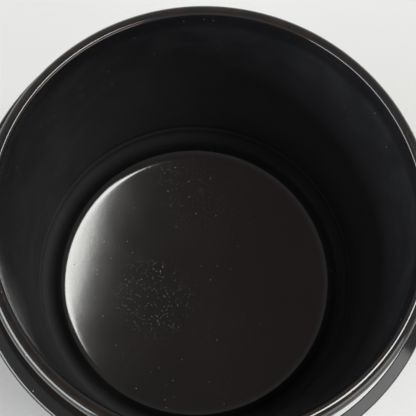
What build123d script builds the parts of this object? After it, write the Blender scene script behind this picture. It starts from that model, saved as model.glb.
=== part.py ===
from build123d import *
from math import asin, cos, degrees, radians, sin, sqrt, tan
import os

# Empty candle jar: a round, wide-mouthed stoneware vessel with a glossy black glaze.
# Z is the jar's axis and the foot ring stands on Z = 0.
# Every piece is a ring or a cup turned about Z, so each one is a half section, revolved.

# Overall sizes
overall_height = 78.0
mouth_radius = 37.5         # clear opening at the lip, glaze included

# Lip: the crown is where its tight inside round meets its softer outside round
lip_inner_round = 0.7
lip_outer_round = 1.8

# Neck and shoulder, where a slip lid would slide on and rest
neck_height = 8.8           # from the crown down to the ledge
shoulder_step = 3.9         # how far the body stands out past the neck
neck_cove = 0.5             # hollow round between the neck and the ledge
ledge_width = 0.8
ledge_edge_round = 0.6
shoulder_slope = 28.0       # degrees below level, from the ledge's edge out to the body
shoulder_round = 1.1        # between the shoulder's slope and the body's side

# Cavity: a straight bore that runs through a fillet into a floor dished like a shallow bowl
base_thickness = 7.5        # from the table to the middle of the glazed floor
floor_dish = 150.0          # radius of the sphere that the floor is part of
floor_fillet = 7.2

# Foot: only the ring touches the table, and it is left bare so that it can stand in the kiln
foot_height = 2.0
foot_inset = 5.5            # from the body's side in to the ring's outer edge
foot_width = 4.0
foot_recess = 1.2
foot_edge_round = 0.5
heel_round = 3.0
bare_margin = 0.8           # wiped clay between the glaze's edge and the foot ring

# Glaze
glaze_thickness = 0.45

neck_radius = mouth_radius + lip_inner_round + lip_outer_round
crown_radius = mouth_radius + lip_inner_round
body_radius = neck_radius + shoulder_step
ledge_z = overall_height - neck_height
foot_outer_radius = body_radius - foot_inset
foot_inner_radius = foot_outer_radius - foot_width
glaze_end_radius = foot_outer_radius + bare_margin


def arc(center, radius, start, end):
    """An arc about center that runs from one angle to another, in degrees from +X."""
    return CenterArc(center, radius, start, end - start)


def on_round(center, radius, slope):
    """The point of a round where its surface has turned by slope from level."""
    return (center[0] + radius * sin(slope), center[1] + radius * cos(slope))


def inside_line(depth):
    """The cavity's outline from the crown to the axis, sunk into the wall by depth."""
    lip_round = (crown_radius, overall_height - lip_inner_round)
    dish_center_z = base_thickness + floor_dish
    fillet_x = mouth_radius - floor_fillet
    reach = floor_dish - floor_fillet
    fillet = (fillet_x, dish_center_z - sqrt(reach**2 - fillet_x**2))
    tilt = degrees(asin(fillet_x / reach))
    return [
        arc(lip_round, lip_inner_round - depth, 90, 180),
        Line((mouth_radius + depth, lip_round[1]), (mouth_radius + depth, fillet[1])),
        arc(fillet, floor_fillet + depth, 0, tilt - 90),
        arc((0, dish_center_z), floor_dish + depth, tilt - 90, -90),
    ]


def outside_line(depth):
    """The outline from the crown down to the glaze's edge by the foot, sunk in by depth."""
    slope = radians(shoulder_slope)
    lip_round = (crown_radius, overall_height - lip_outer_round)
    cove = (neck_radius + neck_cove, ledge_z + neck_cove)
    edge = (cove[0] + ledge_width, ledge_z - ledge_edge_round)
    shoulder_x = body_radius - shoulder_round
    slope_run = shoulder_x - edge[0] + (shoulder_round - ledge_edge_round) * sin(slope)
    slope_drop = slope_run * tan(slope)
    shoulder_gap = (shoulder_round - ledge_edge_round) * cos(slope)
    shoulder = (shoulder_x, edge[1] - slope_drop - shoulder_gap)
    heel = (body_radius - heel_round, foot_height + heel_round)
    return [
        arc(lip_round, lip_outer_round - depth, 90, 0),
        Line((neck_radius - depth, lip_round[1]), (neck_radius - depth, cove[1])),
        arc(cove, neck_cove + depth, 180, 270),
        Line((cove[0], ledge_z - depth), (edge[0], ledge_z - depth)),
        arc(edge, ledge_edge_round - depth, 90, 90 - shoulder_slope),
        Line(
            on_round(edge, ledge_edge_round - depth, slope),
            on_round(shoulder, shoulder_round - depth, slope),
        ),
        arc(shoulder, shoulder_round - depth, 90 - shoulder_slope, 0),
        Line((body_radius - depth, shoulder[1]), (body_radius - depth, heel[1])),
        arc(heel, heel_round - depth, 0, -90),
        Line((heel[0], foot_height + depth), (glaze_end_radius, foot_height + depth)),
    ]


def foot_line():
    """The bare clay from the glaze's edge, round the foot ring and in to the axis."""
    clay_z = foot_height + glaze_thickness
    edge = foot_edge_round
    outer_x = foot_outer_radius - edge
    inner_x = foot_inner_radius + edge
    return [
        Line((glaze_end_radius, clay_z), (foot_outer_radius, clay_z)),
        Line((foot_outer_radius, clay_z), (foot_outer_radius, edge)),
        arc((outer_x, edge), edge, 0, -90),
        Line((outer_x, 0), (inner_x, 0)),
        arc((inner_x, edge), edge, 270, 180),
        Line((foot_inner_radius, edge), (foot_inner_radius, foot_recess)),
        Line((foot_inner_radius, foot_recess), (0, foot_recess)),
    ]


def turned(outline):
    """One solid from a closed half section."""
    section = make_face(Wire(outline))
    return revolve(Plane.XZ * section, axis=Axis.Z, revolution_arc=360)


def crown_line():
    """The seam through the glaze at the crown, where the two glazes meet."""
    return Line(
        (crown_radius, overall_height),
        (crown_radius, overall_height - glaze_thickness),
    )


def axis_line(low_z, high_z):
    return Line((0, low_z), (0, high_z))


def stoneware_body():
    """The fired clay vessel: lip, neck, shoulder, wall, floor and foot ring in one."""
    inside = inside_line(glaze_thickness)
    outside = outside_line(glaze_thickness)
    closing = axis_line(foot_recess, base_thickness - glaze_thickness)
    return turned([*inside, *outside, *foot_line(), closing])


def liner_glaze():
    """The coat that seals the cavity, from the crown down the wall and over the floor."""
    closing = axis_line(base_thickness - glaze_thickness, base_thickness)
    return turned([*inside_line(0), *inside_line(glaze_thickness), crown_line(), closing])


def outer_glaze():
    """The coat on the outside, from the crown down to its edge by the foot ring."""
    edge = Line(
        (glaze_end_radius, foot_height),
        (glaze_end_radius, foot_height + glaze_thickness),
    )
    return turned([*outside_line(0), *outside_line(glaze_thickness), crown_line(), edge])


os.makedirs("parts", exist_ok=True)
for piece in (stoneware_body, liner_glaze, outer_glaze):
    export_step(piece(), f"parts/{piece.__name__}.step")
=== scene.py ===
import bpy
from math import asin, cos, degrees, pi, radians, sin, sqrt, tan
from mathutils import Matrix, Vector


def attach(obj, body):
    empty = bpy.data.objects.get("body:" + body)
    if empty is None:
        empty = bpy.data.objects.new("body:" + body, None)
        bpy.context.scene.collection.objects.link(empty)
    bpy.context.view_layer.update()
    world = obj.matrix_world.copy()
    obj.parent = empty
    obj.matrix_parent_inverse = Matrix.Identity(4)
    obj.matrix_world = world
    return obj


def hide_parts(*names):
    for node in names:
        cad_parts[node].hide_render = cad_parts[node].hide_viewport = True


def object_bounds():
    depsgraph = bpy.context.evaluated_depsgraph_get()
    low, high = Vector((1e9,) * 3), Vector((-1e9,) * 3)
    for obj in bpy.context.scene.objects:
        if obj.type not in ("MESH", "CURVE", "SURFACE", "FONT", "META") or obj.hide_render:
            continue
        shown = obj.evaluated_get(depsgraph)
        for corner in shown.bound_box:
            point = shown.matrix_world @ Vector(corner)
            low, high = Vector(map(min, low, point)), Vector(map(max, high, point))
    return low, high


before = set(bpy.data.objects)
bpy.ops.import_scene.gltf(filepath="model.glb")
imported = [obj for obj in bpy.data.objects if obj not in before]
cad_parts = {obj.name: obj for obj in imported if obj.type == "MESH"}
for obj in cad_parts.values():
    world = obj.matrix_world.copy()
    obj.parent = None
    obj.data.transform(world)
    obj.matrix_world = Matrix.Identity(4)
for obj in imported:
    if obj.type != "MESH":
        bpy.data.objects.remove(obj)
cad_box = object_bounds()

# ---------------------------------------------------------------------------------------
# Outer glaze: the black coat on the outside, from the crown of the lip to its wiped edge
# beside the foot ring. The jar was dipped, so the coat follows the turned clay closely.
# ---------------------------------------------------------------------------------------
mm = 0.001
jar_top = cad_box[1][2]
mouth = 37.5 * mm
lip_inner, lip_outer = 0.7 * mm, 1.8 * mm
crown = mouth + lip_inner
neck = crown + lip_outer
side = cad_box[1][0]
ledge_z = jar_top - 8.8 * mm
foot_z = 2.0 * mm
floor_z = 7.5 * mm
foot_ring = side - 5.5 * mm
glaze_edge = foot_ring + 0.8 * mm
glaze_coat = 0.45 * mm
TURN_STEPS = 240


def curve_points(center, radius, start, end, steps):
    """Points along an arc in the half section, from one angle to another in degrees."""
    angles = [radians(start + (end - start) * i / steps) for i in range(steps + 1)]
    return [(center[0] + radius * cos(a), center[1] + radius * sin(a)) for a in angles]


def run_points(start, end, steps):
    """Points along a straight stretch of the half section."""
    shares = [i / steps for i in range(steps + 1)]
    return [(start[0] + (end[0] - start[0]) * t, start[1] + (end[1] - start[1]) * t)
            for t in shares]


def turn(name, section):
    """A skin turned about the jar's axis: a half section is drawn point by point and spun.
    The section starts or ends at the crown, whose faces must look up."""
    bpy.ops.object.select_all(action="DESELECT")
    bpy.ops.mesh.primitive_plane_add(size=mm, location=(0, 0, 0))
    piece = bpy.context.active_object
    piece.name = name
    bpy.ops.object.mode_set(mode="EDIT")
    bpy.ops.mesh.select_mode(type="VERT")
    bpy.ops.mesh.merge(type="CENTER")
    x, z = section[0]
    bpy.ops.transform.translate(value=(x, 0, z))
    for next_x, next_z in section[1:]:
        if abs(next_x - x) + abs(next_z - z) < 1e-7:
            continue
        move = {"value": (next_x - x, 0, next_z - z)}
        bpy.ops.mesh.extrude_vertices_move(TRANSFORM_OT_translate=move)
        x, z = next_x, next_z
    bpy.ops.mesh.select_all(action="SELECT")
    bpy.ops.mesh.spin(steps=TURN_STEPS, angle=2 * pi, center=(0, 0, 0), axis=(0, 0, 1))
    bpy.ops.mesh.select_all(action="SELECT")
    bpy.ops.mesh.remove_doubles(threshold=1e-6)
    bpy.ops.mesh.normals_make_consistent(inside=False)
    bpy.ops.object.mode_set(mode="OBJECT")
    top_face = max(piece.data.polygons, key=lambda face: face.center.z)
    if top_face.normal.z < 0:
        bpy.ops.object.mode_set(mode="EDIT")
        bpy.ops.mesh.select_all(action="SELECT")
        bpy.ops.mesh.flip_normals()
        bpy.ops.object.mode_set(mode="OBJECT")
    return piece


def outside_section():
    """The outer glaze's face, from the crown down to its edge by the foot ring."""
    slope_below_level = 28
    slope = radians(slope_below_level)
    cove, ledge, edge_round, shoulder_round = 0.5 * mm, 0.8 * mm, 0.6 * mm, 1.1 * mm
    edge = (neck + cove + ledge, ledge_z - edge_round)
    shoulder_x = side - shoulder_round
    slope_run = shoulder_x - edge[0] + (shoulder_round - edge_round) * sin(slope)
    slope_drop = slope_run * tan(slope) + (shoulder_round - edge_round) * cos(slope)
    shoulder = (shoulder_x, edge[1] - slope_drop)
    slope_start = (edge[0] + edge_round * sin(slope), edge[1] + edge_round * cos(slope))
    slope_end = (shoulder[0] + shoulder_round * sin(slope),
                 shoulder[1] + shoulder_round * cos(slope))
    heel_round = 3.0 * mm
    heel = (side - heel_round, foot_z + heel_round)
    return [
        *curve_points((crown, jar_top - lip_outer), lip_outer, 90, 0, 20),
        *run_points((neck, jar_top - lip_outer), (neck, ledge_z + cove), 8),
        *curve_points((neck + cove, ledge_z + cove), cove, 180, 270, 12),
        *curve_points(edge, edge_round, 90, 90 - slope_below_level, 6),
        *run_points(slope_start, slope_end, 6),
        *curve_points(shoulder, shoulder_round, 90 - slope_below_level, 0, 14),
        *run_points((side, shoulder[1]), (side, heel[1]), 40),
        *curve_points(heel, heel_round, 0, -90, 14),
        *run_points((heel[0], foot_z), (glaze_edge, foot_z), 6),
    ]


def coat(piece):
    """Gives a glaze's face its thickness, down to the clay, and smooth shading."""
    thick = piece.modifiers.new("coat", "SOLIDIFY")
    thick.thickness = glaze_coat
    thick.offset = -1
    bpy.context.view_layer.objects.active = piece
    bpy.ops.object.modifier_apply(modifier="coat")
    bpy.ops.object.select_all(action="DESELECT")
    piece.select_set(True)
    bpy.ops.object.shade_smooth_by_angle(angle=radians(40))


def node(tree, kind, settings=(), **sockets):
    """A shader node with its settings and its sockets set, or linked to another's output."""
    made = tree.nodes.new(kind)
    for name, value in dict(settings).items():
        setattr(made, name, value)
    for name, value in sockets.items():
        key = int(name[1:]) if name[1:].isdigit() else name.replace("_", " ")
        socket = made.inputs[key]
        if isinstance(value, bpy.types.NodeSocket):
            tree.links.new(value, socket)
        else:
            socket.default_value = value
    return made


def math(tree, operation, first, second=0.0, clamp=False):
    settings = {"operation": operation, "use_clamp": clamp}
    return node(tree, "ShaderNodeMath", settings, _0=first, _1=second).outputs[0]


def between(tree, value, low, high, start=0.0, end=1.0):
    """A value eased from start to end as it goes from low to high."""
    settings = {"interpolation_type": "SMOOTHSTEP"}
    return node(tree, "ShaderNodeMapRange", settings, Value=value, From_Min=low, From_Max=high,
                To_Min=start, To_Max=end).outputs[0]


def noise(tree, where, scale, detail=2.0, roughness=0.5, distortion=0.0):
    return node(tree, "ShaderNodeTexNoise", Vector=where, Scale=scale, Detail=detail,
                Roughness=roughness, Distortion=distortion).outputs[0]


def blend(tree, share, first, second):
    """A colour mixed from two by a share."""
    settings = {"data_type": "RGBA"}
    return node(tree, "ShaderNodeMix", settings, _0=share, _6=first, _7=second).outputs[2]


def specks(tree, where, spacing, size, share):
    """Round specks on about a share of the cells of a grid with this spacing."""
    cells = node(tree, "ShaderNodeTexVoronoi", Vector=where, Scale=1 / spacing, Randomness=1.0)
    near = between(tree, cells.outputs["Distance"], size / spacing, 0.6 * size / spacing)
    pick = node(tree, "ShaderNodeSeparateColor", Color=cells.outputs["Color"]).outputs[0]
    return math(tree, "MULTIPLY", near, between(tree, pick, share, share * 0.9))


def black_glaze(name, dust_and_sheen_share, pool_top, satin):
    """Black glaze: glossy and deep up to pool_top, where it ran thick, and duller by satin and
    greyer above that, and greyer still towards the wall's foot by painted light. It broke thin and
    brown over the lip, and has ripples, peel and dust, with painted sheen in the dust patch left of
    the floor's middle."""
    material = bpy.data.materials.new(name)
    material.use_nodes = True
    tree = material.node_tree
    shader = tree.nodes["Principled BSDF"]
    shader.inputs["IOR"].default_value = 1.55
    where = node(tree, "ShaderNodeTexCoord").outputs["Object"]
    height = node(tree, "ShaderNodeSeparateXYZ", Vector=where).outputs["Z"]

    cloud = between(tree, noise(tree, where, 70, 4), 0.3, 0.75)
    pool_color = blend(tree, cloud, (0.0030, 0.0030, 0.0032, 1), (0.0060, 0.0055, 0.0052, 1))
    # The upper wall keeps the glaze's own near-black. The lower wall is painted far greyer, a
    # painted glow of light deep in the cavity, fading out towards the rim.
    upper_wall_color = blend(tree, cloud, (0.0080, 0.0082, 0.0100, 1), (0.0120, 0.0120, 0.0138, 1))
    painted_light_low_wall = blend(tree, cloud, (0.0600, 0.0600, 0.0670, 1), (0.0700, 0.0690, 0.0750, 1))
    painted_light_fade = between(tree, height, 0.3 * jar_top, 0.95 * jar_top)
    wall_with_painted_light = blend(tree, painted_light_fade, painted_light_low_wall, upper_wall_color)
    on_wall = between(tree, height, pool_top - 6.4 * mm, pool_top - 1.5 * mm)
    body_color = blend(tree, on_wall, pool_color, wall_with_painted_light)
    thin = math(tree, "MULTIPLY", between(tree, height, jar_top - 1.6 * mm, jar_top - 0.1 * mm),
                between(tree, noise(tree, where, 420, 3), 0.35, 0.75))
    broken_color = blend(tree, thin, body_color, (0.016, 0.010, 0.007, 1))

    fine = specks(tree, where, 0.5 * mm, 0.10 * mm, 0.75)
    coarse = specks(tree, where, 1.8 * mm, 0.14 * mm, 0.35)
    # The specks are real dust. The dense patch left of the floor's middle also paints the window's
    # sheen on the floor as grey colour, so it is painted sheen mixed with dust.
    dust_and_sheen_middle = (-9.0 * mm, -4.5 * mm, floor_z)
    dust_and_sheen_distance = node(tree, "ShaderNodeVectorMath", {"operation": "DISTANCE"}, _0=where,
                   _1=dust_and_sheen_middle).outputs["Value"]
    dust_and_sheen_patches = math(tree, "MAXIMUM", between(tree, noise(tree, where, 45, 3), 0.46, 0.64, 0.0, 0.18),
                   between(tree, dust_and_sheen_distance, 15.0 * mm, 0.5 * mm, 0.0, 0.6))
    dust_and_sheen_specks = math(tree, "MAXIMUM", math(tree, "MULTIPLY", fine, dust_and_sheen_patches), coarse)
    dust_and_sheen = math(tree, "MULTIPLY", dust_and_sheen_specks, dust_and_sheen_share, clamp=True)
    # Pale grey of the dust. In the floor patch it is partly painted sheen.
    color = blend(tree, dust_and_sheen, broken_color, (0.27, 0.26, 0.25, 1))
    tree.links.new(color, shader.inputs["Base Color"])

    pool_gloss = between(tree, noise(tree, where, 120, 3), 0.3, 0.7, 0.098, 0.110)
    below_rim = between(tree, height, jar_top - 1.5 * mm, jar_top - 6.0 * mm)
    dulled = between(tree, noise(tree, where, 160, 3), 0.3, 0.7, 0.85 * satin, 1.15 * satin)
    dull_part = math(tree, "MULTIPLY", on_wall, below_rim)
    gloss = math(tree, "ADD", math(tree, "MULTIPLY", dull_part, dulled), pool_gloss)
    rough = math(tree, "MAXIMUM", gloss, math(tree, "MULTIPLY", dust_and_sheen, 0.7))
    tree.links.new(rough, shader.inputs["Roughness"])

    ripple_place = node(tree, "ShaderNodeMapping", Vector=where, Scale=(25, 25, 420)).outputs[0]
    ripple = node(tree, "ShaderNodeBump", Strength=0.05, Distance=0.05 * mm,
                  Height=noise(tree, ripple_place, 1.0, 2))
    peel = node(tree, "ShaderNodeBump", Strength=0.25, Distance=0.01 * mm,
                Height=noise(tree, where, 900, 2), Normal=ripple.outputs[0])
    grit = node(tree, "ShaderNodeBump", Strength=0.6, Distance=0.03 * mm, Height=dust_and_sheen,
                Normal=peel.outputs[0])
    tree.links.new(grit.outputs[0], shader.inputs["Normal"])
    return material


outer = turn("outer_glaze_coat", outside_section())
coat(outer)
outer.data.materials.append(black_glaze("outer_black_glaze", 0.5, 2 * jar_top, 0.0))
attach(outer, "root")
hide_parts("outer_glaze")

# ---------------------------------------------------------------------------------------
# Liner glaze: the black coat that seals the cavity. It was poured in and tipped out, and
# it meets the outer coat at the crown of the lip.
# ---------------------------------------------------------------------------------------
floor_dish, floor_fillet = 150.0 * mm, 7.2 * mm
fillet_x = mouth - floor_fillet
reach = floor_dish - floor_fillet
dish_center = (0, floor_z + floor_dish)
fillet_center = (fillet_x, dish_center[1] - sqrt(reach**2 - fillet_x**2))
tilt = degrees(asin(fillet_x / reach))
groove_width, groove_depth = 3.2 * mm, 0.25 * mm
groove_z = fillet_center[1] + 1.0 * mm


def groove_points(low_z, steps=12):
    """The faint ring that the turning tool left round the foot of the wall."""
    shares = [i / steps for i in range(steps + 1)]
    return [(mouth + groove_depth * 0.5 * (1 - cos(2 * pi * t)), low_z + groove_width * t)
            for t in shares]


def inside_section():
    """The liner's face, from the floor's middle out and up the wall to the crown."""
    return [
        *curve_points(dish_center, floor_dish, -90, tilt - 90, 40),
        *curve_points(fillet_center, floor_fillet, tilt - 90, 0, 36),
        *groove_points(groove_z),
        *run_points((mouth, groove_z + groove_width), (mouth, jar_top - lip_inner), 44),
        *curve_points((crown, jar_top - lip_inner), lip_inner, 180, 90, 12),
    ]


liner = turn("liner_glaze_coat", inside_section())
coat(liner)
liner.data.materials.append(black_glaze("liner_black_glaze", 1.0, fillet_center[1], 0.40))
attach(liner, "root")
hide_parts("liner_glaze")

# ---------------------------------------------------------------------------------------
# Stoneware body: the fired clay under the glazes. Only its foot ring and the recess inside
# the ring are bare, and the ring is rubbed smooth where it stands on the shelf.
# ---------------------------------------------------------------------------------------
bare_clay = bpy.data.materials.new("bare_stoneware")
bare_clay.use_nodes = True
clay_tree = bare_clay.node_tree
clay_shader = clay_tree.nodes["Principled BSDF"]
clay_place = node(clay_tree, "ShaderNodeTexCoord").outputs["Object"]
clay_height = node(clay_tree, "ShaderNodeSeparateXYZ", Vector=clay_place).outputs["Z"]
clay_cloud = between(clay_tree, noise(clay_tree, clay_place, 110, 5), 0.3, 0.7)
clay_tone = blend(clay_tree, clay_cloud, (0.50, 0.41, 0.31, 1), (0.66, 0.57, 0.46, 1))
iron_spots = specks(clay_tree, clay_place, 2.6 * mm, 0.22 * mm, 0.45)
spotted = blend(clay_tree, iron_spots, clay_tone, (0.16, 0.09, 0.05, 1))
rubbed = between(clay_tree, clay_height, 0.35 * mm, 0.0)
shelf_grey = math(clay_tree, "MULTIPLY", rubbed, 0.55)
clay_color = blend(clay_tree, shelf_grey, spotted, (0.40, 0.36, 0.32, 1))
clay_tree.links.new(clay_color, clay_shader.inputs["Base Color"])
clay_rough = between(clay_tree, noise(clay_tree, clay_place, 300, 3), 0.3, 0.7, 0.72, 0.9)
clay_tree.links.new(clay_rough, clay_shader.inputs["Roughness"])
clay_grain = node(clay_tree, "ShaderNodeBump", Strength=0.5, Distance=0.06 * mm,
                  Height=noise(clay_tree, clay_place, 2600, 4, 0.65))
clay_tree.links.new(clay_grain.outputs[0], clay_shader.inputs["Normal"])
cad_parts["stoneware_body"].data.materials[0] = bare_clay

# ---------------------------------------------------------------------------------------
# Studio: a plain pale table, a soft light overhead and two low soft windows, which the floor
# and the lip mirror, and the camera leaning over the mouth.
# ---------------------------------------------------------------------------------------
bpy.ops.object.select_all(action="DESELECT")
bpy.ops.mesh.primitive_circle_add(vertices=96, radius=2.5, fill_type="NGON", location=(0, 0, 0))
table = bpy.context.active_object
table.name = "table"
table_paint = bpy.data.materials.new("pale_table")
table_paint.use_nodes = True
table_shader = table_paint.node_tree.nodes["Principled BSDF"]
table_shader.inputs["Base Color"].default_value = (0.74, 0.74, 0.74, 1)
table_shader.inputs["Roughness"].default_value = 0.7
table_shader.inputs["Specular IOR Level"].default_value = 0.2
table.data.materials.append(table_paint)

world = bpy.data.worlds.new("studio")
bpy.context.scene.world = world
world.use_nodes = True
sky = world.node_tree
sky_way = node(sky, "ShaderNodeTexCoord").outputs["Generated"]
sky_height = node(sky, "ShaderNodeSeparateXYZ", Vector=sky_way).outputs["Z"]
overhead = between(sky, sky_height, 0.66, 0.95)
sky_color = blend(sky, overhead, (0.400, 0.400, 0.400, 1), (0.250, 0.212, 0.195, 1))
sky.links.new(sky_color, sky.nodes["Background"].inputs["Color"])
sky.nodes["Background"].inputs["Strength"].default_value = 1.0
bpy.context.scene.view_settings.view_transform = "Standard"


def facing(place, aim):
    """The turn that makes a light at place face aim."""
    return (Vector(aim) - Vector(place)).to_track_quat("-Z", "Y").to_euler()


def softbox(name, place, turned, width, height, watts, tint=(1, 1, 1)):
    """A soft rectangular light at place. With no turn it faces straight down."""
    lamp = bpy.data.lights.new(name, "AREA")
    lamp.shape = "RECTANGLE"
    lamp.size, lamp.size_y = width, height
    lamp.energy = watts
    lamp.color = tint
    holder = bpy.data.objects.new(name, lamp)
    bpy.context.scene.collection.objects.link(holder)
    holder.location = place
    holder.rotation_euler = turned


jar_rim = (0, 0, 0.08)
left_place = (-1.36, -0.56, 0.37)
front_place = (0.92, -0.77, 0.42)
ceiling_turn = (0, 0, radians(-12))
softbox("ceiling_light", (0.395, 0.085, 1.07), ceiling_turn, 0.27, 0.60, 8.5, (0.985, 1.0, 0.965))
softbox("left_window", left_place, facing(left_place, jar_rim), 2.0, 0.60, 30, (0.93, 0.97, 1.0))
softbox("front_window", front_place, facing(front_place, jar_rim), 0.9, 0.64, 4.5)

lens_at = Vector((-0.2282, -0.9992, 3.5677)) * mouth + Vector((0, 0, jar_top))
lean, lean_way = radians(16.022), radians(78.14)
forward = Vector((sin(lean) * cos(lean_way), sin(lean) * sin(lean_way), -cos(lean)))
right = forward.cross(Vector((0, 1, 0))).normalized()
upward = right.cross(forward)
camera_data = bpy.data.cameras.new("camera")
camera_data.lens = 69.58
camera_data.sensor_width = 36
camera_data.clip_start = 0.01
camera = bpy.data.objects.new("camera", camera_data)
bpy.context.scene.collection.objects.link(camera)
camera.location = lens_at
camera.rotation_euler = Matrix((right, upward, -forward)).transposed().to_euler()
bpy.context.scene.camera = camera
